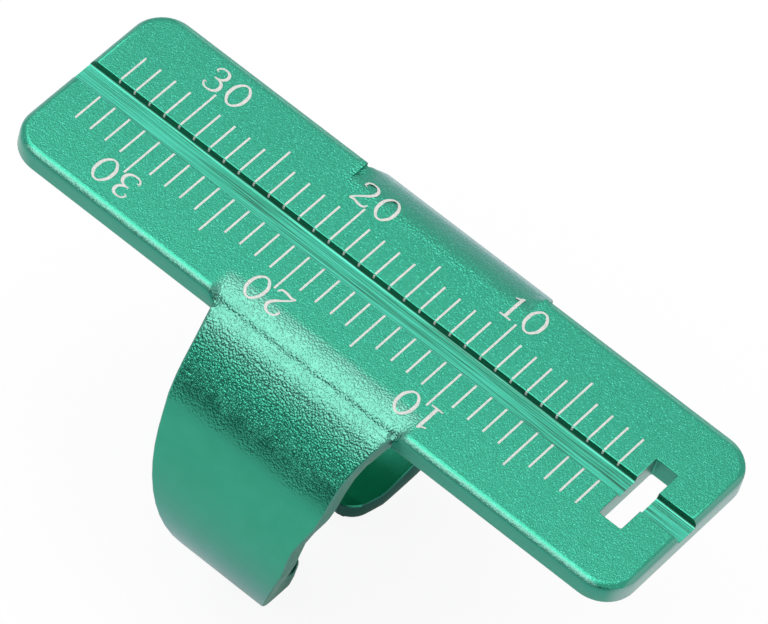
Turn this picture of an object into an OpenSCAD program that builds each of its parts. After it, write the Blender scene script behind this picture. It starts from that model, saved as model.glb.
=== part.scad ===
// Endodontic ring gauge: a millimetre ruler worn on a finger to set the length of root canal files.
// A flat scale plate lies over the finger, and two tapering wings, bent down from its long sides,
// curl round the finger into an open ring.
// X runs along the plate and the finger, with the zero end at +X. Z is up, and the scale faces up.
// The origin is on the axis of the ring, under the middle of the plate. Sizes are in millimetres.

/* [Scale plate] */
// Length of the plate, along the scale
plate_l = 40; // [38:0.5:60]
// Width of the plate, across the scale
plate_w = 12.4; // [11:0.2:15]
// Thickness of the sheet that the plate and the wings are made from
sheet_t = 1.3; // [1:0.05:1.6]
// Radius of the plate's four corners, seen from above
corner_r = 2; // [0.6:0.1:4]
// Radius of the rolled edge round the top of the plate
edge_r = 0.3; // [0.1:0.05:0.5]

/* [File groove and slot] */
// Width of the groove that guides the file along the scale
groove_w = 1.6; // [0.8:0.1:2.4]
// Depth of the groove
groove_d = 0.4; // [0.2:0.05:0.6]
// Length of the slot that takes the file's tip, across the plate
slot_l = 4.8; // [3:0.1:7]
// Width of the slot, along the plate
slot_w = 1.4; // [0.8:0.05:2]
// Distance from the slot to the zero end of the plate
slot_to_end = 2.5; // [1.5:0.1:4]

/* [Scale] */
// Distance from the slot's wall to the line of the zero
zero_gap = 0.2; // [0:0.05:1]
// Distance between neighbouring marks
mark_pitch = 1; // [0.5:0.5:2]
// Every how many marks a long one stands
long_every = 5; // [2:1:10]
// Length of the short marks
short_mark_l = 2; // [1:0.1:2.4]
// Length of the long marks
long_mark_l = 2.85; // [1.5:0.05:3.2]
// Width of the line of a mark
mark_w = 0.15; // [0.1:0.01:0.3]
// Depth that the marks are cut into the plate
mark_d = 0.05; // [0.03:0.01:0.12]
// Distance from the lip of the groove to the marks
mark_inset = 0.05; // [0.02:0.01:0.4]
// Least distance from the last mark to the far end of the plate
last_mark_margin = 1.9; // [1:0.1:4]

/* [Finger ring] */
// Inside radius of the ring, which is the radius of the finger
finger_r = 9; // [8:0.25:10.5]
// Thickness that the round bore of the ring takes off the bent sheet
bore_skim = 0.02; // [0.01:0.01:0.05]
// Room between the finger's circle and the underside of the plate
crown_gap = 0.02; // [0:0.01:0.5]
// Distance from the plate's long edge in to the bend line of a wing
bend_inset = 1.6; // [0.8:0.05:1.9]
// Outside radius of the bend at the top of a wing
shoulder_r = 3.6; // [2.2:0.1:4.4]
// Angle below the level of the axis where the flank of a wing runs into the ring
ring_start = 40; // [10:1:45]
// Gap between the tips of the two wings under the finger, across the outside of the ring
tip_gap = 4.2; // [3.4:0.1:8]

/* [Wing outline] */
// Width of a wing at its root, where it leaves the plate
root_w = 11.8; // [9:0.1:16]
// Depth of the flare that widens a wing to its root
root_flare_d = 2.6; // [1.6:0.1:3.4]
// Radius of the flare
root_flare_r = 4.1; // [3.5:0.1:8]
// Distance that each end of the root stands out past the line of a wing's side, level with the top of the plate
root_flare_w = 0.4; // [0.2:0.05:1]
// Width of the rounded tip of a wing
tip_w = 3; // [2:0.1:5]
// Angle at which the round of the tip runs out to each side
tip_flare = 20; // [12:1:30]
// Swell of a wing's curved sides beyond a straight taper
side_swell = 0.8; // [0.3:0.05:1.2]

/* [Fits] */
// Running clearance round the knuckle of a bend
knuckle_clearance = 0.03; // [0.02:0.01:0.1]
// Slit between each end of a wing's root and the plate
relief_w = 0.15; // [0.08:0.01:0.4]

/* [Hidden] */
$fn = 96;
anodised_green = [0.20, 0.66, 0.51];
mark_white = [0.93, 0.92, 0.90];
// Overlap of a cutting solid past the face that it cuts
past = 0.5;

// Heights of the plate over the ring's axis
plate_under = finger_r + crown_gap;
plate_mid = plate_under + sheet_t / 2;
plate_top = plate_under + sheet_t;

// Scale: the zero lies by the slot, and the marks count away from it
slot_x = plate_l / 2 - slot_to_end - slot_w / 2;
zero_x = slot_x - slot_w / 2 - zero_gap;
mark_count = floor((zero_x + plate_l / 2 - last_mark_margin) / mark_pitch);
mark_y = groove_w / 2 + mark_inset;

// Cross-section of a wing: the shoulder, flank and ring are three arcs, each tangent to the next
ring_r = finger_r + sheet_t - bore_skim;
bend_y = plate_w / 2 - bend_inset;
shoulder_c = [bend_y, plate_top - shoulder_r];
flank_dir = [-cos(ring_start), sin(ring_start)];
flank_shift = (shoulder_c * shoulder_c - pow(ring_r - shoulder_r, 2))
    / (2 * (ring_r - shoulder_r + shoulder_c * flank_dir));
flank_c = flank_shift * flank_dir;
flank_r = ring_r + flank_shift;
shoulder_end = atan2(shoulder_c[1] - flank_c[1], shoulder_c[0] - flank_c[0]);

// Outline of a wing seen along Y: each side is an arc from the plate's top down to the tip
tip_angle = asin(tip_w / 2 / ring_r) - acos(tip_gap / 2 / ring_r);
tip_z = ring_r * sin(tip_angle);
side_from = [root_w / 2 - root_flare_w, plate_top];
side_to = [tip_w / 2, tip_z];
side_half = norm(side_to - side_from) / 2;
side_r = (pow(side_half, 2) + pow(side_swell, 2)) / (2 * side_swell);
side_out = [side_from[1] - side_to[1], side_to[0] - side_from[0]] / (2 * side_half);
side_c = (side_from + side_to) / 2 - (side_r - side_swell) * side_out;
flare_z = plate_top - root_flare_d;
flare_x = side_c[0] + sqrt(pow(side_r, 2) - pow(flare_z - side_c[1], 2));

// Points along an arc round c, in a number of equal steps, without its first point
function arc_points(c, r, from, to, steps) =
    [for (i = [1 : steps]) let (a = from + (to - from) * i / steps) c + r * [cos(a), sin(a)]];

// The same points from the last to the first
function reversed(points) = [for (i = [len(points) - 1 : -1 : 0]) points[i]];

// A row of points on the right, closed by its mirror image on the left
function both_sides(right) = concat(right, [for (p = reversed(right)) [-p[0], p[1]]]);

// Points down a wing's sheet at a depth under its outside: shoulder, flank, and ring to its lowest point
function sheet_side(depth) = concat(
    [[bend_y, plate_top - depth]],
    arc_points(shoulder_c, shoulder_r - depth, 90, shoulder_end, 12),
    arc_points(flank_c, flank_r - depth, shoulder_end, -ring_start, 16),
    arc_points([0, 0], ring_r - depth, -ring_start, -90, 20)
);

// Half of the plate's section, from a line at x = 0 out to the rolled edge at x = reach
module rolled_edge(reach) {
    square([reach, sheet_t - edge_r]);
    square([reach - edge_r, sheet_t]);
    translate([reach - edge_r, sheet_t - edge_r]) circle(edge_r);
}

// Sheet with rounded corners and a rolled edge all round its top, standing on z = 0
module plate_blank() {
    straight_l = plate_l - 2 * corner_r;
    straight_w = plate_w - 2 * corner_r;
    for (turn = [0, 180]) {
        rotate(turn) rotate([90, 0, 90]) linear_extrude(straight_l, center = true) rolled_edge(plate_w / 2);
        rotate(turn) rotate([90, 0, 0]) linear_extrude(straight_w, center = true) rolled_edge(plate_l / 2);
    }
    for (sx = [-1, 1], sy = [-1, 1])
        translate([sx * straight_l / 2, sy * straight_w / 2, 0])
            rotate_extrude() rolled_edge(corner_r);
}

// Room for the root of the rear wing: a slot in the plate's edge with a round socket along the bend line
module knuckle_seat() {
    seat_l = root_w + 2 * relief_w;
    translate([-seat_l / 2, bend_y, plate_under - past]) cube([seat_l, bend_inset + past, sheet_t + 2 * past]);
    translate([0, bend_y, plate_mid]) rotate([0, 90, 0])
        cylinder(h = seat_l, r = sheet_t / 2 + knuckle_clearance, center = true);
}

// One row of marks on the rear half of the plate, as bars that end level with its top
module mark_row() {
    for (i = [1 : mark_count]) {
        mark_l = i % long_every == 0 ? long_mark_l : short_mark_l;
        translate([zero_x - i * mark_pitch - mark_w / 2, mark_y, plate_top - mark_d])
            cube([mark_w, mark_l, mark_d]);
    }
}

// Section of the rear wing's bent sheet, which is bored round where it makes the ring
module wing_section() {
    difference() {
        polygon(concat(sheet_side(0), reversed(sheet_side(sheet_t))));
        circle(finger_r);
    }
}

// Outline of a wing seen along Y: a flared root, then two swelling sides that taper to the tip
module wing_front() {
    flare_c = [flare_x + root_flare_r, flare_z];
    flare_from = acos((root_w / 2 - flare_c[0]) / root_flare_r);
    side_angles = [for (z = [flare_z, -ring_r - past]) asin((z - side_c[1]) / side_r)];
    right = concat(
        [[root_w / 2, plate_top + past], flare_c + root_flare_r * [cos(flare_from), sin(flare_from)]],
        arc_points(flare_c, root_flare_r, flare_from, 180, 6),
        arc_points(side_c, side_r, side_angles[0], side_angles[1], 16)
    );
    polygon(both_sides(right));
}

// Outline of a wing seen straight on to its tip, with the tip at +Y: a round end that flares to the sides
module wing_end() {
    tip_r = tip_w / 2;
    flare_l = 2 * tip_w;
    flare_half = tip_r * cos(tip_flare) + flare_l * tan(tip_flare);
    flare_y = tip_r * sin(tip_flare) - flare_l;
    right = concat(
        arc_points([0, 0], tip_r, 90, tip_flare, 10),
        [[flare_half, flare_y], [root_w, flare_y], [root_w, flare_y - 2 * ring_r]]
    );
    polygon(both_sides(right));
}

// Rear wing: a round knuckle on the bend line, and the curled section trimmed to its outline and at its tip
module wing() {
    translate([0, bend_y, plate_mid]) rotate([0, 90, 0]) cylinder(h = root_w, r = sheet_t / 2, center = true);
    intersection() {
        rotate([90, 0, 90]) linear_extrude(root_w, center = true) wing_section();
        rotate([90, 0, 0]) linear_extrude(4 * ring_r, center = true) wing_front();
        rotate([tip_angle - 90, 0, 0]) linear_extrude(4 * ring_r, center = true) wing_end();
    }
}

module scale_plate() {
    color(anodised_green) difference() {
        translate([0, 0, plate_under]) plate_blank();
        translate([-plate_l / 2 - past, -groove_w / 2, plate_top - groove_d])
            cube([plate_l + 2 * past, groove_w, groove_d + past]);
        translate([slot_x - slot_w / 2, -slot_l / 2, plate_under - past])
            cube([slot_w, slot_l, sheet_t + 2 * past]);
        for (side = [0, 1]) mirror([0, side, 0]) {
            knuckle_seat();
            mark_row();
        }
    }
}

module front_wing() {
    color(anodised_green) mirror([0, 1, 0]) wing();
}

module rear_wing() {
    color(anodised_green) wing();
}

module front_scale_marks() {
    color(mark_white) mirror([0, 1, 0]) mark_row();
}

module rear_scale_marks() {
    color(mark_white) mark_row();
}

scale_plate();
front_wing();
rear_wing();
front_scale_marks();
rear_scale_marks();
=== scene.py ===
import math

import bmesh
import bpy
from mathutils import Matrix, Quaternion, Vector


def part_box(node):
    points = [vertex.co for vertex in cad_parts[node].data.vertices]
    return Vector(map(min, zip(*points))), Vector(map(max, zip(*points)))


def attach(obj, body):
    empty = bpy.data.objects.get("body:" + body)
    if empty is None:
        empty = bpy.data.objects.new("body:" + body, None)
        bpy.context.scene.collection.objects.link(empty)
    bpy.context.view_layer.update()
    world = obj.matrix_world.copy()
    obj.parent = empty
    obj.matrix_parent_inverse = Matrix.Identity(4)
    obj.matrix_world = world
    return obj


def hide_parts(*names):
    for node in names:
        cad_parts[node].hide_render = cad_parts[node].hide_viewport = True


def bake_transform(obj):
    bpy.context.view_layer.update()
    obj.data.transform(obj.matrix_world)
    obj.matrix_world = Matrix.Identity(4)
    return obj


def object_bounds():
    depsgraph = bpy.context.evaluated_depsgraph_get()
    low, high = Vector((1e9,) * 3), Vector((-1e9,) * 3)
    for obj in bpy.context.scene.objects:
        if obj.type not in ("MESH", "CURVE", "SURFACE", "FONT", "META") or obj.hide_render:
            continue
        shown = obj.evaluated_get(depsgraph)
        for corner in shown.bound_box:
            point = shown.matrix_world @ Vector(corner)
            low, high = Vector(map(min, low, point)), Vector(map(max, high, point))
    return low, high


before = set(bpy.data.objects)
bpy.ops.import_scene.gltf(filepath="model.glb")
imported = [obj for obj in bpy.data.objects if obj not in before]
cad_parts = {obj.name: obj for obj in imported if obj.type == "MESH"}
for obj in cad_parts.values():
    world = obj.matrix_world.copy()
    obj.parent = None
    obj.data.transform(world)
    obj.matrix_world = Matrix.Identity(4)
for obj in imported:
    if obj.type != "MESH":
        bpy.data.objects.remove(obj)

cad_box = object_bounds()

# Scale plate: a flat strip of soft aluminium sheet, stamped with rounded corners. A groove to lay the file in
# is milled along its middle, and a slot for the file's tip is punched across its zero end.
# Its top edge is tumbled round, and the whole strip is bead-blasted and anodised green.
mm = 0.001
plate_low, plate_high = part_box("scale_plate")
sheet_t = 1.3 * mm
line_rise = 0.006 * mm
plate_top = plate_high.z - line_rise
plate_under = plate_low.z
half_l = plate_high.x
half_w = plate_high.y
corner_r = 2 * mm
rim_r = 0.4 * mm
rear_sharp = 0.85
under_r = 0.12 * mm
groove_half = 0.8 * mm
groove_foot = 0.7 * mm
groove_d = 0.4 * mm
groove_fillet = 0.12 * mm
groove_mouth = 1.2 * groove_half
slot_x = 16.8 * mm
slot_half_w = 0.7 * mm
slot_half_l = 2.4 * mm
slot_corner = 0.12 * mm
lip_r = 0.05 * mm
tool_past = 1 * mm
root_half = 5.9 * mm
seam_y = 4.3 * mm
seam_gap = 0.002 * mm
bend_y = 4.6 * mm
bend_reach = 2 * mm
shoulder_r = 3.6 * mm
drawn_x = 0.6 * mm
nick_x = 5.85 * mm
nick_y = 6.15 * mm
nick_size = (0.45 * mm, 0.5 * mm)
nick_d = 0.2 * mm
corner_cuts_x = (5.98, 6.06, 6.14, 6.22, 6.3, 6.4, 6.5, 7)
corner_cuts_y = (4.5, 4.6, 4.8, 5.0, 5.2, 5.35, 5.5, 5.63, 5.76)
touch = 0.004 * mm
sharp_from = math.radians(40)


def apply_place():
    bpy.ops.object.transform_apply(location=True, rotation=True, scale=True)


def add_block(name, low, high):
    bpy.ops.object.select_all(action="DESELECT")
    middle = [(a + b) / 2 for a, b in zip(low, high)]
    size = [b - a for a, b in zip(low, high)]
    bpy.ops.mesh.primitive_cube_add(size=1, location=middle, scale=size)
    apply_place()
    block = bpy.context.object
    block.name = name
    return block


def take(*pieces):
    bpy.ops.object.select_all(action="DESELECT")
    for piece in pieces:
        piece.select_set(True)
    bpy.context.view_layer.objects.active = pieces[0]


def edit(piece):
    take(piece)
    bpy.ops.object.mode_set(mode="EDIT")
    bpy.ops.mesh.select_mode(type="EDGE")
    bpy.ops.mesh.select_all(action="DESELECT")


def leave_edit():
    bpy.ops.object.mode_set(mode="OBJECT")


def pick_edges(piece, wanted):
    mesh = bmesh.from_edit_mesh(piece.data)
    for edge in mesh.edges:
        edge.select_set(wanted(edge.verts[0].co, edge.verts[1].co))
    mesh.select_flush_mode()
    bmesh.update_edit_mesh(piece.data)


def round_picked(radius, segments):
    bpy.ops.mesh.bevel(offset=radius, offset_type="OFFSET", segments=segments, profile=0.5, affect="EDGES")


def round_edges(piece, wanted, radius, segments):
    bpy.ops.mesh.select_mode(type="EDGE")
    pick_edges(piece, wanted)
    round_picked(radius, segments)


def cut_away(piece, cutter):
    cut = piece.modifiers.new("cut", "BOOLEAN")
    cut.operation = "DIFFERENCE"
    cut.solver = "EXACT"
    cut.object = cutter
    bpy.context.view_layer.objects.active = piece
    bpy.ops.object.modifier_apply(modifier=cut.name)
    bpy.data.objects.remove(cutter)


def even_shading(piece):
    take(piece)
    bpy.ops.object.shade_smooth_by_angle(angle=sharp_from)
    weighted = piece.modifiers.new("even", "WEIGHTED_NORMAL")
    weighted.keep_sharp = True
    weighted.weight = 90
    bpy.ops.object.modifier_apply(modifier=weighted.name)


def near(value, aim):
    return abs(value - aim) < touch


def upright(a, b):
    return near(a.x, b.x) and near(a.y, b.y)


def on_top(a, b):
    return near(a.z, plate_top) and near(b.z, plate_top)


plate = add_block("scale_plate_sheet", (-half_l, -half_w, plate_under), (half_l, half_w, plate_top))
edit(plate)
round_edges(plate, upright, corner_r, 12)
round_edges(plate, on_top, rim_r, 6)
round_edges(plate, lambda a, b: near(a.z, plate_under) and near(b.z, plate_under), under_r, 2)
leave_edit()

# The milling cutter of the groove has a rounded nose, and its sides lean a little
groove = add_block(
    "groove_cutter",
    (-half_l - tool_past, -groove_half, plate_top - groove_d),
    (half_l + tool_past, groove_half, plate_top + groove_d),
)
edit(groove)
pick_edges(groove, lambda a, b: a.z < plate_top and b.z < plate_top)
bpy.ops.transform.resize(value=(1, groove_foot / groove_half, 1))
pick_edges(groove, lambda a, b: a.z > plate_top and b.z > plate_top)
bpy.ops.transform.resize(value=(1, 2 - groove_foot / groove_half, 1))
round_edges(groove, lambda a, b: a.z < plate_top and b.z < plate_top and near(a.y, b.y), groove_fillet, 4)
leave_edit()
cut_away(plate, groove)

slot = add_block(
    "slot_punch",
    (slot_x - slot_half_w, -slot_half_l, plate_under - tool_past),
    (slot_x + slot_half_w, slot_half_l, plate_top + tool_past),
)
edit(slot)
round_edges(slot, upright, slot_corner, 3)
leave_edit()
cut_away(plate, slot)

for side in (-1, 1):
    seat_from, seat_to = sorted((side * seam_y, side * (half_w + tool_past)))
    seat = add_block(
        "root_seat",
        (-root_half - seam_gap, seat_from, plate_under - tool_past),
        (root_half + seam_gap, seat_to, plate_top + tool_past),
    )
    cut_away(plate, seat)


def on_lip(a, b):
    along_groove = abs(a.y) < groove_mouth and near(a.y, b.y)
    round_slot = all(abs(end.x - slot_x) < slot_half_w + touch for end in (a, b))
    return on_top(a, b) and (along_groove or round_slot)


def slice_across(piece, axis, places, from_y=0):
    bpy.ops.mesh.select_mode(type="FACE")
    for place in places:
        mesh = bmesh.from_edit_mesh(piece.data)
        for face in mesh.faces:
            face.select_set(abs(face.calc_center_median().y) > from_y)
        bmesh.update_edit_mesh(piece.data)
        bpy.ops.mesh.bisect(plane_co=place * axis, plane_no=axis, threshold=0.000001)


edit(plate)
round_edges(plate, on_lip, lip_r, 2)
for sign in (-1, 1):
    slice_across(plate, Vector((0, 1, 0)), [sign * y * mm for y in corner_cuts_y], bend_y / 2)
    slice_across(plate, Vector((1, 0, 0)), [sign * x * mm for x in corner_cuts_x], corner_cuts_y[0] * mm)
leave_edit()


def part_way(value, start, end):
    return min(1, max(0, (value - start) / (end - start)))


def soften(share):
    return share * share * (3 - 2 * share)


def bend_drop(y):
    past_bend = min(max(0, abs(y) - bend_y), bend_reach)
    return shoulder_r - math.sqrt(shoulder_r**2 - past_bend**2)


def nick_share(x, y):
    reach = math.hypot((abs(x) - nick_x) / nick_size[0], (abs(y) - nick_y) / nick_size[1])
    return max(0, 1 - reach**2) ** 2


# How far the sheet lies below the flat top. On the front side the bend draws the plate beside it down too,
# and each end of the bend is pressed into a soft nick.
def root_drop(x, y):
    past_root = (abs(x) - root_half) / drawn_x
    flat_corner = y > 0 and past_root > 0
    if past_root > 1 or abs(y) < bend_y or flat_corner:
        return 0
    return bend_drop(y) * (1 - soften(max(0, past_root))) + nick_d * nick_share(x, y)


# The rear long edge is left sharper than the others
for vertex in plate.data.vertices:
    x, y, z = vertex.co
    if z > plate_top - rim_r - touch:
        vertex.co.z += (plate_top - z) * rear_sharp * part_way(y, half_w - corner_r, half_w)
    if abs(x) > root_half:
        vertex.co.z -= root_drop(x, y) * (z - plate_under) / sheet_t
even_shading(plate)


def new_material(name):
    material = bpy.data.materials.new(name)
    material.use_nodes = True
    tree = material.node_tree
    shader = tree.nodes["Principled BSDF"]
    coords = tree.nodes.new("ShaderNodeTexCoord")
    return material, tree, shader, coords.outputs["Object"]


def add_axes(tree, place):
    axes = tree.nodes.new("ShaderNodeSeparateXYZ")
    tree.links.new(place, axes.inputs["Vector"])
    return axes.outputs


def add_noise(tree, place, scale, detail, stretch=None):
    if stretch:
        mapping = tree.nodes.new("ShaderNodeMapping")
        mapping.inputs["Scale"].default_value = stretch
        tree.links.new(place, mapping.inputs["Vector"])
        place = mapping.outputs["Vector"]
    noise = tree.nodes.new("ShaderNodeTexNoise")
    noise.inputs["Scale"].default_value = scale
    noise.inputs["Detail"].default_value = detail
    tree.links.new(place, noise.inputs["Vector"])
    return noise.outputs["Fac"]


def add_ramp(tree, fac, places, colours):
    ramp = tree.nodes.new("ShaderNodeValToRGB")
    while len(ramp.color_ramp.elements) < len(places):
        ramp.color_ramp.elements.new(0.5)
    for element, place, colour in zip(ramp.color_ramp.elements, places, colours):
        element.position = place
        element.color = (*colour, 1)
    tree.links.new(fac, ramp.inputs["Fac"])
    return ramp.outputs["Color"]


def add_range(tree, fac, low, high, start=0, end=1):
    spread = tree.nodes.new("ShaderNodeMapRange")
    spread.interpolation_type = "SMOOTHSTEP"
    spread.inputs["From Min"].default_value = start
    spread.inputs["From Max"].default_value = end
    spread.inputs["To Min"].default_value = low
    spread.inputs["To Max"].default_value = high
    tree.links.new(fac, spread.inputs["Value"])
    return spread.outputs["Result"]


def add_math(tree, operation, first, second=None):
    math_node = tree.nodes.new("ShaderNodeMath")
    math_node.operation = operation
    tree.links.new(first, math_node.inputs[0])
    if second:
        tree.links.new(second, math_node.inputs[1])
    return math_node.outputs["Value"]


def add_mix(tree, share, first, second):
    mix = tree.nodes.new("ShaderNodeMix")
    mix.data_type = "RGBA"
    tree.links.new(share, mix.inputs["Factor"])
    tree.links.new(first, mix.inputs["A"])
    if isinstance(second, tuple):
        mix.inputs["B"].default_value = (*second, 1)
    else:
        tree.links.new(second, mix.inputs["B"])
    return mix.outputs["Result"]


def add_bump(tree, height, depth, under=None, strength=None):
    bump = tree.nodes.new("ShaderNodeBump")
    bump.inputs["Strength"].default_value = 1
    bump.inputs["Distance"].default_value = depth
    tree.links.new(height, bump.inputs["Height"])
    if strength:
        tree.links.new(strength, bump.inputs["Strength"])
    if under:
        tree.links.new(under, bump.inputs["Normal"])
    return bump.outputs["Normal"]


def seal_oxide(shader, weight, roughness):
    shader.inputs["Metallic"].default_value = 1
    shader.inputs["Coat Weight"].default_value = weight
    shader.inputs["Coat Roughness"].default_value = roughness
    shader.inputs["Coat IOR"].default_value = 1.5


# Blasted face: dyed oxide over a pebbled metal surface. Where the sheet is bent, its skin is stretched, and
# there the pebbles stand out like orange peel. On top of the front bend the colour is painted paler, as a
# painted highlight. Down the wings the skin is smooth.
pebble_cells = 8200
pebble_d = 0.026 * mm
bead_cells = 8600
pit_grain = 18000
pit_d = 0.012 * mm
patch_grain = 900
noise_span = (0.3, 0.7)
bent_x = (6.0 * mm, 6.6 * mm)
bent_y = (4.0 * mm, 4.7 * mm)
front_y = (-4.7 * mm, -4.0 * mm)
painted_highlight_z = (8.0 * mm, 9.7 * mm)
rim_x = (19.68 * mm, 19.82 * mm)
rim_y = (5.88 * mm, 6.02 * mm)
worked_z = (5.3 * mm, 7.6 * mm)
ragged_z = 0.5 * mm
plain_dye = ((0.019, 0.292, 0.182), (0.023, 0.312, 0.198))
speckled_dye = ((0.019, 0.282, 0.178), (0.065, 0.46, 0.335))
# Painted highlight: the paler colour for the top of the front bend
front_bend_painted_highlight = ((0.074, 0.296, 0.217), (0.092, 0.324, 0.240))
# Painted highlight: a paler, whiter colour for the rounded rim, standing for its bright highlight
rim_painted_highlight = (0.10, 0.34, 0.255)

blasted_green, tree, shader, place = new_material("blasted_green")
axes = add_axes(tree, place)
off_x = add_math(tree, "ABSOLUTE", axes["X"])
off_y = add_math(tree, "ABSOLUTE", axes["Y"])
cells = tree.nodes.new("ShaderNodeTexVoronoi")
cells.feature = "SMOOTH_F1"
cells.inputs["Scale"].default_value = pebble_cells
cells.inputs["Smoothness"].default_value = 0.5
tree.links.new(place, cells.inputs["Vector"])
pebbles = add_range(tree, cells.outputs["Distance"], 1, 0)
beads = tree.nodes.new("ShaderNodeTexVoronoi")
beads.inputs["Scale"].default_value = bead_cells
tree.links.new(place, beads.inputs["Vector"])
bright = tree.nodes.new("ShaderNodeSeparateColor")
tree.links.new(beads.outputs["Color"], bright.inputs["Color"])
specks = add_math(
    tree,
    "MULTIPLY",
    add_range(tree, beads.outputs["Distance"], 1, 0, 0.12, 0.5),
    add_range(tree, bright.outputs["Red"], 0, 1, 0.3, 1),
)
pits = add_noise(tree, place, pit_grain, 1)
patches = add_noise(tree, place, patch_grain, 2)
along = add_range(tree, off_x, 1, 0, *bent_x)
bent = add_math(tree, "MULTIPLY", along, add_range(tree, off_y, 0, 1, *bent_y))
rim = add_math(tree, "MAXIMUM", add_range(tree, off_y, 0, 1, *rim_y), add_range(tree, off_x, 0, 1, *rim_x))
rim = add_math(tree, "MULTIPLY", rim, add_range(tree, along, 1, 0))
# Painted highlight: the top of the front bend, under the lamp, is made paler
painted_highlight = add_math(tree, "MULTIPLY", bent, add_range(tree, axes["Z"], 0, 1, *painted_highlight_z))
painted_highlight = add_math(tree, "MULTIPLY", painted_highlight, add_range(tree, axes["Y"], 1, 0, *front_y))
ragged = add_math(tree, "ADD", axes["Z"], add_range(tree, patches, -ragged_z, ragged_z, *noise_span))
worked = add_range(tree, ragged, 0.05, 1, *worked_z)
coarse = add_math(tree, "MAXIMUM", add_range(tree, bent, 0.16, 1), add_range(tree, rim, 0, 0.6))
coarse = add_math(tree, "MULTIPLY", coarse, worked)
dye = add_mix(
    tree,
    worked,
    add_ramp(tree, patches, noise_span, plain_dye),
    add_ramp(tree, specks, (0, 1), speckled_dye),
)
# Mix in the painted highlight on top of the front bend
dye = add_mix(tree, painted_highlight, dye, add_ramp(tree, patches, noise_span, front_bend_painted_highlight))
# Mix in the painted highlight on the rounded rim
dye = add_mix(tree, rim, dye, rim_painted_highlight)
tree.links.new(dye, shader.inputs["Base Color"])
rough = add_math(tree, "MAXIMUM", add_range(tree, pits, 0.14, 0.26), add_range(tree, rim, 0, 0.42))
rough = add_math(tree, "MAXIMUM", rough, add_range(tree, bent, 0, 0.25))
tree.links.new(rough, shader.inputs["Roughness"])
grain = add_bump(tree, pebbles, pebble_d, strength=coarse)
grain = add_bump(tree, pits, pit_d, under=grain, strength=worked)
tree.links.new(grain, shader.inputs["Normal"])
tree.links.new(grain, shader.inputs["Coat Normal"])
shader.inputs["Specular Tint"].default_value = (0.7, 0.8, 0.92, 1)
seal_oxide(shader, 0.4, 0.2)

# Sheared edge: smoother than the faces and a little greyer, with faint lines left by the punch, and paler
# across the two ends of the plate and on the walls of the slot
drag_grain = 1500
drag_d = 0.004 * mm
paler_end_x = (19.2 * mm, 19.9 * mm)
paler_slot_y = (2.1 * mm, 2.35 * mm)
sheared_dye = ((0.016, 0.275, 0.190), (0.022, 0.315, 0.222))
paler_end_dye = (0.22, 0.40, 0.36)


def add_drag_lines(tree, shader, place, stretch):
    drag = add_noise(tree, place, drag_grain, 2, stretch)
    tree.links.new(add_range(tree, drag, 0.42, 0.52), shader.inputs["Roughness"])
    tree.links.new(add_bump(tree, drag, drag_d), shader.inputs["Normal"])
    return drag


sheared_green, tree, shader, place = new_material("sheared_green")
drag = add_drag_lines(tree, shader, place, (0.15, 0.15, 4))
axes = add_axes(tree, place)
off_x = add_math(tree, "ABSOLUTE", axes["X"])
off_y = add_math(tree, "ABSOLUTE", axes["Y"])
paler_share = add_math(
    tree,
    "MAXIMUM",
    add_range(tree, off_x, 0, 1, *paler_end_x),
    add_range(tree, off_y, 0.8, 0, *paler_slot_y),
)
dye = add_mix(tree, paler_share, add_ramp(tree, drag, noise_span, sheared_dye), paler_end_dye)
tree.links.new(dye, shader.inputs["Base Color"])
seal_oxide(shader, 0.6, 0.3)

# Milled groove: streaks of the cutter run along it under the same dye. Its steep walls are painted darker, as
# painted shade in the groove.
streak_grain = 18000
streak_d = 0.02 * mm
wall_y = (0.64 * mm, 0.7 * mm)
streak_span = (0.35, 0.45, 0.62)
streak_dye = ((0.002, 0.09, 0.050), (0.010, 0.275, 0.170), (0.035, 0.41, 0.29))
# Painted shade: the dark colour of the groove's steep walls
groove_wall_painted_shade = (0.003, 0.095, 0.055)

milled_green, tree, shader, place = new_material("milled_green")
streaks = add_noise(tree, place, streak_grain, 2, (0.012, 1, 1))
off_y = add_math(tree, "ABSOLUTE", add_axes(tree, place)["Y"])
# Painted shade: how far the walls take the dark colour
wall_shade_share = add_range(tree, off_y, 0, 0.85, *wall_y)
dye = add_mix(tree, wall_shade_share, add_ramp(tree, streaks, streak_span, streak_dye), groove_wall_painted_shade)
tree.links.new(dye, shader.inputs["Base Color"])
tree.links.new(add_range(tree, streaks, 0.25, 0.4), shader.inputs["Roughness"])
tree.links.new(add_bump(tree, streaks, streak_d), shader.inputs["Normal"])
seal_oxide(shader, 0.8, 0.25)

for material in (blasted_green, sheared_green, milled_green):
    plate.data.materials.append(material)
for face in plate.data.polygons:
    in_groove = abs(face.center.y) < groove_half and face.center.z < plate_top - touch
    if in_groove and face.center.z > plate_top - groove_d - touch and abs(face.normal.x) < 0.5:
        face.material_index = 2
    elif abs(face.normal.z) < 0.5:
        face.material_index = 1
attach(plate, "plate")
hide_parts("scale_plate")

# Wings: two tongues of the same sheet, left on when the strip is stamped and bent down from its long sides.
# Each one curls round the finger through a tight shoulder, a wider flank and the round of the ring, and
# narrows to a rounded tip. Nothing fastens them: on the real gauge the soft bend itself lets the ring be
# opened or closed.
ring_r = 10.28 * mm
ring_start = math.radians(40)
root_flare_d = 4.5 * mm
root_flare_r = 10.8 * mm
root_flare_w = 0.25 * mm
root_taper = 0.25
clear_y = 6.25 * mm
tip_r = 1.5 * mm
tip_gap_half = 2.1 * mm
tip_flare = math.radians(20)
tip_zone = math.radians(12)
tip_last = math.radians(82)
tip_steps = 8
side_swell = 0.75 * mm
wing_edge_r = 0.16 * mm
fold_from = math.radians(50)
edge_tilt = 0.6
wing_cuts_x = (5.1, 5.2, 5.3, 5.4, 5.5, 5.6, 5.7, 5.8)
crease = math.radians(62)
crease_turn = math.radians(7.5)
crease_d = 0.12 * mm
lean_x = 0.15 * mm
lean_z = 7.2 * mm
lean_reach = 3 * mm

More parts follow.
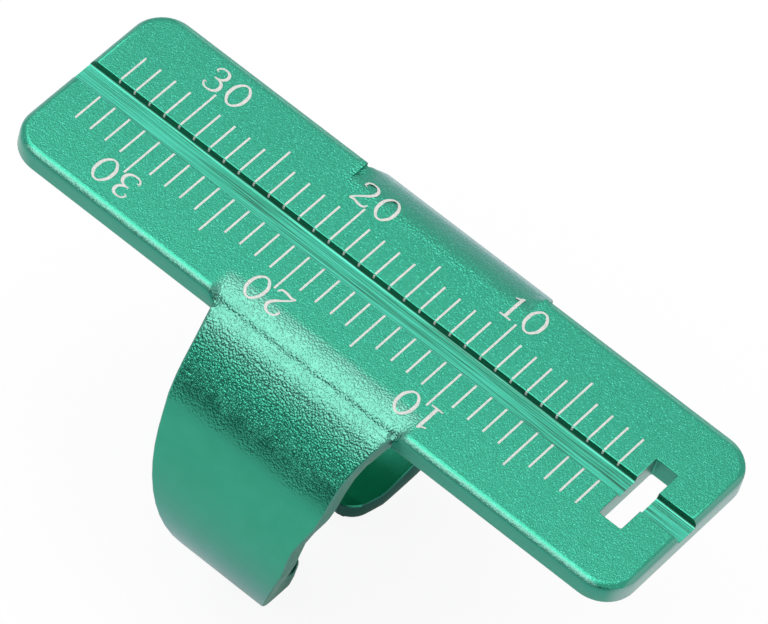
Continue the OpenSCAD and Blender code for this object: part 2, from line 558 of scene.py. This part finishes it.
shoulder_c = Vector((bend_y, plate_top - shoulder_r))
flank_dir = Vector((-math.cos(ring_start), math.sin(ring_start)))
flank_shift = (shoulder_c.length_squared - (ring_r - shoulder_r) ** 2) / (
    2 * (ring_r - shoulder_r + shoulder_c.dot(flank_dir))
)
flank_c = flank_shift * flank_dir
flank_r = ring_r + flank_shift
shoulder_end = math.atan2(shoulder_c.y - flank_c.y, shoulder_c.x - flank_c.x)
ring_c = Vector((0, 0))
tip_angle = math.asin(tip_r / ring_r) - math.acos(tip_gap_half / ring_r)

side_from = Vector((root_half - root_flare_w, plate_top))
side_to = Vector((tip_r, ring_r * math.sin(tip_angle)))
side_half = (side_to - side_from).length / 2
side_r = (side_half**2 + side_swell**2) / (2 * side_swell)
side_out = Vector((side_from.y - side_to.y, side_to.x - side_from.x)) / (2 * side_half)
side_c = (side_from + side_to) / 2 - (side_r - side_swell) * side_out
flare_z = plate_top - root_flare_d
flare_x = side_c.x + math.sqrt(side_r**2 - (flare_z - side_c.y) ** 2)


def half_width(height):
    if height < flare_z:
        return side_c.x + math.sqrt(side_r**2 - (height - side_c.y) ** 2)
    flare = root_flare_r - math.sqrt(root_flare_r**2 - (height - flare_z) ** 2)
    return min(root_half, flare_x + flare)


def tip_half_width(reach):
    if reach > tip_r * math.sin(tip_flare):
        return math.sqrt(max(tip_r**2 - reach**2, 0))
    return tip_r * math.cos(tip_flare) + (tip_r * math.sin(tip_flare) - reach) * math.tan(tip_flare)


def tip_stop(round_angle):
    return tip_angle - math.asin(tip_r * math.sin(round_angle) / ring_r)


def arc_stops(centre, radius, start, end, steps):
    return [(centre, radius, start + (end - start) * i / steps) for i in range(1, steps + 1)]


stops = arc_stops(shoulder_c, shoulder_r, math.pi / 2, crease + crease_turn, 8)
stops += arc_stops(shoulder_c, shoulder_r, crease + crease_turn, crease - crease_turn, 12)
stops += arc_stops(shoulder_c, shoulder_r, crease - crease_turn, shoulder_end, 6)
stops += arc_stops(flank_c, flank_r, shoulder_end, -ring_start, 16)
stops += arc_stops(ring_c, ring_r, -ring_start, tip_stop(tip_flare), 18)
for step in range(1, tip_steps + 1):
    stops.append((ring_c, ring_r, tip_stop(tip_flare + (tip_last - tip_flare) * step / tip_steps)))

# The end face of a short root is spun from stop to stop, and narrowed on the way
rear_wing = add_block("rear_wing_sheet", (-root_half, seam_y, plate_under), (root_half, bend_y, plate_top))
edit(rear_wing)
bpy.ops.mesh.select_mode(type="FACE")
mesh = bmesh.from_edit_mesh(rear_wing.data)
for face in mesh.faces:
    face.select_set(face.normal.y > 0.9)
bmesh.update_edit_mesh(rear_wing.data)
last_angle = math.pi / 2
last_half = root_half
for centre, radius, angle in stops:
    half = half_width(centre.y + (radius - sheet_t / 2) * math.sin(angle))
    if centre is shoulder_c:
        past_plate = max(0, centre.x + radius * math.cos(angle) - clear_y)
        half = max(half, root_half - root_taper * past_plate)
    if centre is ring_c and angle < tip_angle + tip_zone:
        half = min(half, tip_half_width(ring_r * math.sin(tip_angle - angle)))
    bpy.ops.mesh.spin(steps=1, angle=last_angle - angle, center=(0, centre.x, centre.y), axis=(1, 0, 0))
    bpy.ops.transform.resize(value=(half / last_half, 1, 1))
    last_angle = angle
    last_half = half
bpy.ops.mesh.select_mode(type="EDGE")
bpy.ops.mesh.select_all(action="DESELECT")
bpy.ops.mesh.edges_select_sharp(sharpness=fold_from)
mesh = bmesh.from_edit_mesh(rear_wing.data)
for edge in mesh.edges:
    at_root = any(end.co.y < clear_y and end.co.z > plate_under - mm for end in edge.verts)
    edge.select_set(edge.select and not at_root)
mesh.select_flush_mode()
bmesh.update_edit_mesh(rear_wing.data)
round_picked(wing_edge_r, 3)
for sign in (-1, 1):
    slice_across(rear_wing, Vector((1, 0, 0)), [sign * x * mm for x in wing_cuts_x])
leave_edit()


def face_outwards(piece):
    edit(piece)
    bpy.ops.mesh.select_all(action="SELECT")
    bpy.ops.mesh.normals_make_consistent(inside=False)
    leave_edit()


face_outwards(rear_wing)
# Both wings lean a little to one side
for vertex in rear_wing.data.vertices:
    vertex.co.x -= lean_x * soften(part_way(abs(vertex.co.z - lean_z), lean_reach, 0))

# Formed edge: the sheared edge of a wing, grey on the front wing and painted dark on the rear one, as painted
# shade where that edge faces down
grey_dye = ((0.075, 0.245, 0.195), (0.105, 0.285, 0.232))
# Painted shade: the darker colour of the rear wing's edge
rear_edge_painted_shade = ((0.012, 0.100, 0.080), (0.018, 0.125, 0.102))

formed_edge, tree, shader, place = new_material("formed_edge")
drag = add_drag_lines(tree, shader, place, (4, 0.5, 0.5))
# Towards the rear the edge colour turns to the painted shade
dye = add_mix(
    tree,
    add_range(tree, add_axes(tree, place)["Y"], 0, 1, -1 * mm, 1 * mm),
    add_ramp(tree, drag, noise_span, grey_dye),
    add_ramp(tree, drag, noise_span, rear_edge_painted_shade),
)
tree.links.new(dye, shader.inputs["Base Color"])
shader.inputs["Specular Tint"].default_value = (0.4, 0.6, 0.52, 1)
seal_oxide(shader, 0.4, 0.3)

for material in (blasted_green, formed_edge):
    rear_wing.data.materials.append(material)
for face in rear_wing.data.polygons:
    outward = Vector((0, face.center.y, face.center.z)).normalized()
    at_tip = face.center.z < 0 and abs(face.normal.dot(outward)) < edge_tilt
    if abs(face.normal.x) > edge_tilt or at_tip:
        face.material_index = 1


def mirrored_copy(piece, name):
    take(piece)
    bpy.ops.object.duplicate()
    copy = bpy.context.object
    copy.name = name
    copy.scale = (1, -1, 1)
    apply_place()
    face_outwards(copy)
    return copy


front_wing = mirrored_copy(rear_wing, "front_wing_sheet")

# The bending tool creases the outside of the front shoulder, nicks both ends of the bend, pinches one side
# and thins the tip from inside
pinch_x = 0.26 * mm
pinch_z = 2.6 * mm
pinch_reach = 2.4 * mm
thin_tip = 0.55 * mm
thin_reach = math.radians(20)
for vertex in front_wing.data.vertices:
    x, y, z = vertex.co
    outward = Vector((-y, z)) - shoulder_c
    turned = (math.atan2(outward.y, outward.x) - crease) / crease_turn
    if near(outward.length, shoulder_r) and abs(turned) < 1:
        press = crease_d * (1 + math.cos(math.pi * turned)) / 2
        vertex.co.y += press * math.cos(crease)
        vertex.co.z -= press * math.sin(crease)
    if z > plate_under:
        vertex.co.z -= nick_d * nick_share(x, y) * (z - plate_under) / sheet_t
    if x > 0:
        vertex.co.x -= pinch_x * soften(part_way(abs(z - pinch_z), pinch_reach, 0))
    share = part_way(math.atan2(z, -y), tip_angle + thin_reach, tip_angle)
    if y < 0 and share > 0:
        radius = math.hypot(y, z)
        thinned = radius + thin_tip * share * (ring_r - radius) / sheet_t
        vertex.co.y *= thinned / radius
        vertex.co.z *= thinned / radius

# The rear wing is bent a little tighter, with its tip curled further in. The ends of its bend rise towards
# the plate, and on one side its root and its tip are fuller.
tighter = 0.08 * mm
tighter_z = 6 * mm
shoulder_z = plate_under - 0.6 * mm
corner_lift = 0.6
lift_x = (5.25 * mm, 5.85 * mm)
lift_y = (5.4 * mm, 5.9 * mm)
fall_y = (7 * mm, 6.2 * mm)
full_root_x = 0.3 * mm
full_root_y = (6.35 * mm, 6.8 * mm)
full_root_z = (6 * mm, 8.5 * mm)
full_tip_x = 0.19 * mm
full_tip_z = (-6 * mm, -8.5 * mm)
for vertex in rear_wing.data.vertices:
    x, y, z = vertex.co
    on_shoulder = z > shoulder_z
    settled = part_way(y, bend_y, half_w) if on_shoulder else 1
    vertex.co.y -= tighter * settled * (1 + 2 * part_way(-z, 0, ring_r))
    vertex.co.z -= tighter * settled * part_way(z, 0, tighter_z)
    if on_shoulder:
        lifted = part_way(abs(x), *lift_x) * part_way(y, *lift_y) * part_way(y, *fall_y)
        vertex.co.z += corner_lift * bend_drop(y) * lifted
    if x > 0:
        vertex.co.x += full_root_x * soften(part_way(y, *full_root_y) * part_way(z, *full_root_z))
        vertex.co.x += full_tip_x * soften(part_way(z, *full_tip_z))

for wing, body, side in ((front_wing, "front_wing", -1), (rear_wing, "rear_wing", 1)):
    even_shading(wing)
    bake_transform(wing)
    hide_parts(body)

# Scale marks: a laser burns the dye away down to bright bare metal, one fine line every millimetre and
# a longer one every fifth. The beam starts in the groove, so each line also runs down the groove's wall.
zero_x = 15.9 * mm
mark_pitch = 1 * mm
long_every = 5
mark_groups = 7
mark_half = 0.058 * mm
mark_from = 0.86 * mm
short_mark_to = 2.85 * mm
long_mark_to = 3.7 * mm
mark_t = 0.02 * mm
burnt_grain = 14000
burnt_d = 0.01 * mm
burnt_span = (0.32, 0.62)
burnt_white = ((0.45, 0.48, 0.46), (0.66, 0.64, 0.61))

laser_white, tree, shader, place = new_material("laser_white")
burnt = add_noise(tree, place, burnt_grain, 2)
tree.links.new(add_ramp(tree, burnt, burnt_span, burnt_white), shader.inputs["Base Color"])
tree.links.new(add_range(tree, burnt, 0.5, 0.7), shader.inputs["Roughness"])
tree.links.new(add_bump(tree, burnt, burnt_d), shader.inputs["Normal"])
shader.inputs["Metallic"].default_value = 0.3


def burn_line(name, end_y):
    bpy.ops.object.select_all(action="DESELECT")
    middle = (zero_x, (mark_from + end_y) / 2, plate_top + line_rise)
    bpy.ops.mesh.primitive_plane_add(size=1, location=middle)
    line = bpy.context.object
    line.name = name
    line.scale = (2 * mark_half, end_y - mark_from, 1)
    apply_place()
    edit(line)
    pick_edges(line, lambda a, b: near(a.y, mark_from) and near(b.y, mark_from))
    lip = (groove_half - lip_r / 2, plate_top - lip_r)
    foot = (groove_foot + groove_fillet / 3, plate_top - groove_d + groove_fillet)
    for y, z in (lip, foot):
        mesh = bmesh.from_edit_mesh(line.data)
        held = next(vertex.co.copy() for vertex in mesh.verts if vertex.select)
        step = (0, y - held.y - line_rise, z - held.z)
        bpy.ops.mesh.extrude_region_move(TRANSFORM_OT_translate={"value": step})
    leave_edit()
    return line


def repeat(piece, count, step):
    array = piece.modifiers.new("repeat", "ARRAY")
    array.count = count
    array.use_relative_offset = False
    array.use_constant_offset = True
    array.constant_offset_displace = (step, 0, 0)
    bpy.context.view_layer.objects.active = piece
    bpy.ops.object.modifier_apply(modifier=array.name)


def shift(piece, x):
    take(piece)
    bpy.ops.transform.translate(value=(x, 0, 0))
    apply_place()


def join(name, parts):
    take(*parts)
    bpy.ops.object.join()
    parts[0].name = name
    return parts[0]


short_lines = burn_line("short_lines", short_mark_to)
shift(short_lines, -mark_pitch)
repeat(short_lines, long_every - 1, -mark_pitch)
repeat(short_lines, mark_groups, -long_every * mark_pitch)
long_lines = burn_line("long_lines", long_mark_to)
shift(long_lines, -long_every * mark_pitch)
repeat(long_lines, mark_groups - 1, -long_every * mark_pitch)
rear_lines = join("rear_scale_lines", [short_lines, long_lines])
thick = rear_lines.modifiers.new("depth", "SOLIDIFY")
thick.thickness = mark_t
thick.offset = -1
bpy.ops.object.modifier_apply(modifier=thick.name)
rear_lines.data.materials.append(laser_white)
front_lines = mirrored_copy(rear_lines, "front_scale_lines")
face_outwards(rear_lines)
for lines, node in ((rear_lines, "rear_scale_marks"), (front_lines, "front_scale_marks")):
    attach(lines, "plate")
    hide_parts(node)

# Numerals: the same laser writes the tens of millimetres in a book face with thick and thin strokes.
# Each row has its own, with its feet towards the groove, so that it reads from either side.
# A stroke is a run of places across and up, in mm, each with half of the stroke's width there.
numeral_foot = {1: 3.65 * mm, -1: 3.41 * mm}
front_slip = {"1": -0.2 * mm, "2": 0.185 * mm, "3": 0.05 * mm}
first_place = -1.14 * mm
zero_places = {"1": 0.02 * mm, "2": 0.23 * mm, "3": 0.23 * mm}
widest_half = 0.12 * mm
strokes = {
    "1": [
        [(0.39, 0.06, 0.10), (0.39, 0.9, 0.10), (0.40, 1.68, 0.10)],
        [
            (0.04, 0.05, 0.045),
            (0.22, 0.055, 0.055),
            (0.39, 0.06, 0.06),
            (0.56, 0.055, 0.055),
            (0.76, 0.05, 0.045),
        ],
        [(0.46, 1.71, 0.05), (0.30, 1.53, 0.06), (0.06, 1.42, 0.045)],
    ],
    "2": [
        [
            (0.15, 1.32, 0.07),
            (0.24, 1.58, 0.06),
            (0.54, 1.69, 0.055),
            (0.85, 1.56, 0.085),
            (0.96, 1.27, 0.105),
            (0.85, 0.97, 0.09),
            (0.52, 0.62, 0.065),
            (0.22, 0.30, 0.055),
            (0.07, 0.08, 0.055),
        ],
        [
            (0.07, 0.08, 0.055),
            (0.30, 0.14, 0.07),
            (0.66, 0.07, 0.08),
            (0.95, 0.09, 0.07),
            (1.09, 0.32, 0.035),
        ],
        [(0.20, 1.26, 0.11), (0.21, 1.30, 0.12)],
    ],
    "3": [
        [
            (0.14, 1.40, 0.06),
            (0.25, 1.62, 0.055),
            (0.52, 1.70, 0.055),
            (0.79, 1.60, 0.085),
            (0.89, 1.34, 0.10),
            (0.79, 1.08, 0.085),
            (0.52, 0.94, 0.055),
            (0.36, 0.93, 0.05),
        ],
        [
            (0.36, 0.93, 0.05),
            (0.60, 0.92, 0.055),
            (0.89, 0.78, 0.09),
            (0.99, 0.48, 0.105),
            (0.87, 0.18, 0.09),
            (0.55, 0.055, 0.055),
            (0.24, 0.12, 0.055),
            (0.10, 0.34, 0.06),
        ],
        [(0.19, 1.34, 0.10), (0.20, 1.38, 0.11)],
        [(0.16, 0.36, 0.10), (0.17, 0.40, 0.11)],
    ],
}
zero_stroke = [
    (1.07, 0.88, 0.105),
    (0.93, 1.45, 0.085),
    (0.59, 1.70, 0.06),
    (0.25, 1.45, 0.085),
    (0.11, 0.88, 0.105),
    (0.25, 0.31, 0.085),
    (0.59, 0.06, 0.06),
    (0.93, 0.31, 0.085),
]


def write_stroke(points, closed=False):
    curve = bpy.data.curves.new("stroke", "CURVE")
    curve.dimensions = "3D"
    curve.bevel_depth = mm
    curve.bevel_resolution = 3
    curve.use_fill_caps = True
    spline = curve.splines.new("BEZIER")
    spline.resolution_u = 8
    spline.use_cyclic_u = closed
    spline.bezier_points.add(len(points) - 1)
    for knot, (x, y, half) in zip(spline.bezier_points, points):
        knot.co = (x * mm, y * mm, 0)
        knot.radius = half
        knot.handle_left_type = "AUTO"
        knot.handle_right_type = "AUTO"
    stroke = bpy.data.objects.new("stroke", curve)
    bpy.context.collection.objects.link(stroke)
    take(stroke)
    bpy.ops.object.convert(target="MESH")
    return bpy.context.object


def write_number(tens, tick_x, side):
    first = join("first_digit", [write_stroke(points) for points in strokes[tens]])
    zero = write_stroke(zero_stroke, closed=True)
    shift(first, first_place)
    shift(zero, zero_places[tens])
    number = join("number_" + tens, [first, zero])
    if side < 0:
        number.rotation_euler = (0, 0, math.pi)
        tick_x += front_slip[tens]
    number.location = (tick_x, side * numeral_foot[side], plate_top)
    number.scale = (1, 1, line_rise / widest_half)
    take(number)
    apply_place()
    return number


for name, side in (("rear_numerals", 1), ("front_numerals", -1)):
    row = [write_number(tens, zero_x - 10 * int(tens) * mark_pitch, side) for tens in "123"]
    numerals = join(name, row)
    for vertex in numerals.data.vertices:
        vertex.co.z -= root_drop(vertex.co.x, vertex.co.y)
    numerals.data.materials.append(laser_white)
    bpy.ops.object.shade_smooth()
    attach(numerals, "plate")

# Studio: a white table under a wide soft lamp overhead, with a dark card in front that gives the polished
# bends their shaded band, and a long lens that looks down on the scale from the front right.
floor_z = cad_box[0][2]
table_size = 6
table_paint = (0.85, 0.85, 0.85, 1)
paper_seen = 0.9
paper_mirrored = 0.15
card_size = (1.6, 0.28, 1)
card_y = -0.5
card_paint = (0.1, 0.1, 0.1, 1)
lamp_size = (0.3, 0.81)
lamp_place = (-0.13, -0.215, 0.35)
lamp_power = 1.6
sky_strength = 0.75
lens_length = 379.9
eye_place = (109.65 * mm, -232.82 * mm, 328.04 * mm)
eye_back = Vector((0.2668, -0.5685, 0.7782))
eye_roll = math.radians(17.49)


def add_sight(tree):
    path = tree.nodes.new("ShaderNodeLightPath")
    mirrored = add_math(tree, "MAXIMUM", path.outputs["Is Glossy Ray"], path.outputs["Is Transmission Ray"])
    return path.outputs["Is Camera Ray"], mirrored


bpy.ops.object.select_all(action="DESELECT")
bpy.ops.mesh.primitive_plane_add(size=table_size, location=(0, 0, floor_z))
apply_place()
table_top = bpy.context.object
table_top.name = "table_top"
table_white = bpy.data.materials.new("table_white")
table_white.use_nodes = True
tree = table_white.node_tree
tree.nodes.clear()
matt = tree.nodes.new("ShaderNodeBsdfDiffuse")
matt.inputs["Color"].default_value = table_paint
paper = tree.nodes.new("ShaderNodeEmission")
paper.inputs["Strength"].default_value = 1
seen, mirrored = add_sight(tree)
share = add_math(
    tree,
    "MAXIMUM",
    add_range(tree, seen, 0, paper_seen),
    add_range(tree, mirrored, 0, paper_mirrored),
)
mix = tree.nodes.new("ShaderNodeMixShader")
tree.links.new(share, mix.inputs["Fac"])
tree.links.new(matt.outputs["BSDF"], mix.inputs[1])
tree.links.new(paper.outputs["Emission"], mix.inputs[2])
output = tree.nodes.new("ShaderNodeOutputMaterial")
tree.links.new(mix.outputs["Shader"], output.inputs["Surface"])
table_top.data.materials.append(table_white)

bpy.ops.object.select_all(action="DESELECT")
card_place = (0, card_y, floor_z + card_size[1] / 2)
bpy.ops.mesh.primitive_plane_add(size=1, location=card_place, rotation=(math.pi / 2, 0, 0))
card = bpy.context.object
card.name = "dark_card"
card.scale = card_size
apply_place()
card_grey, tree, shader, place = new_material("card_grey")
shader.inputs["Base Color"].default_value = card_paint
shader.inputs["Roughness"].default_value = 0.9
card.data.materials.append(card_grey)
card.visible_camera = False

lamp = bpy.data.lights.new("soft_lamp", "AREA")
lamp.shape = "RECTANGLE"
lamp.size, lamp.size_y = lamp_size
lamp.energy = lamp_power
soft_lamp = bpy.data.objects.new("soft_lamp", lamp)
bpy.context.collection.objects.link(soft_lamp)
soft_lamp.location = lamp_place
soft_lamp.visible_camera = False

scene = bpy.context.scene
world = bpy.data.worlds.new("studio_white")
scene.world = world
world.use_nodes = True
tree = world.node_tree
tree.nodes.clear()
sky = tree.nodes.new("ShaderNodeBackground")
sky.inputs["Color"].default_value = (1, 1, 1, 1)
white = add_math(tree, "MAXIMUM", *add_sight(tree))
tree.links.new(add_range(tree, white, sky_strength, 1), sky.inputs["Strength"])
output = tree.nodes.new("ShaderNodeOutputWorld")
tree.links.new(sky.outputs["Background"], output.inputs["Surface"])
scene.view_settings.view_transform = "Standard"

camera = bpy.data.cameras.new("camera")
camera.lens = lens_length
camera.sensor_width = 36
camera.sensor_fit = "HORIZONTAL"
eye = bpy.data.objects.new("camera", camera)
bpy.context.collection.objects.link(eye)
eye.location = eye_place
eye.rotation_mode = "QUATERNION"
eye.rotation_quaternion = (-eye_back).to_track_quat("-Z", "Y") @ Quaternion((0, 0, 1), eye_roll)
scene.camera = eye
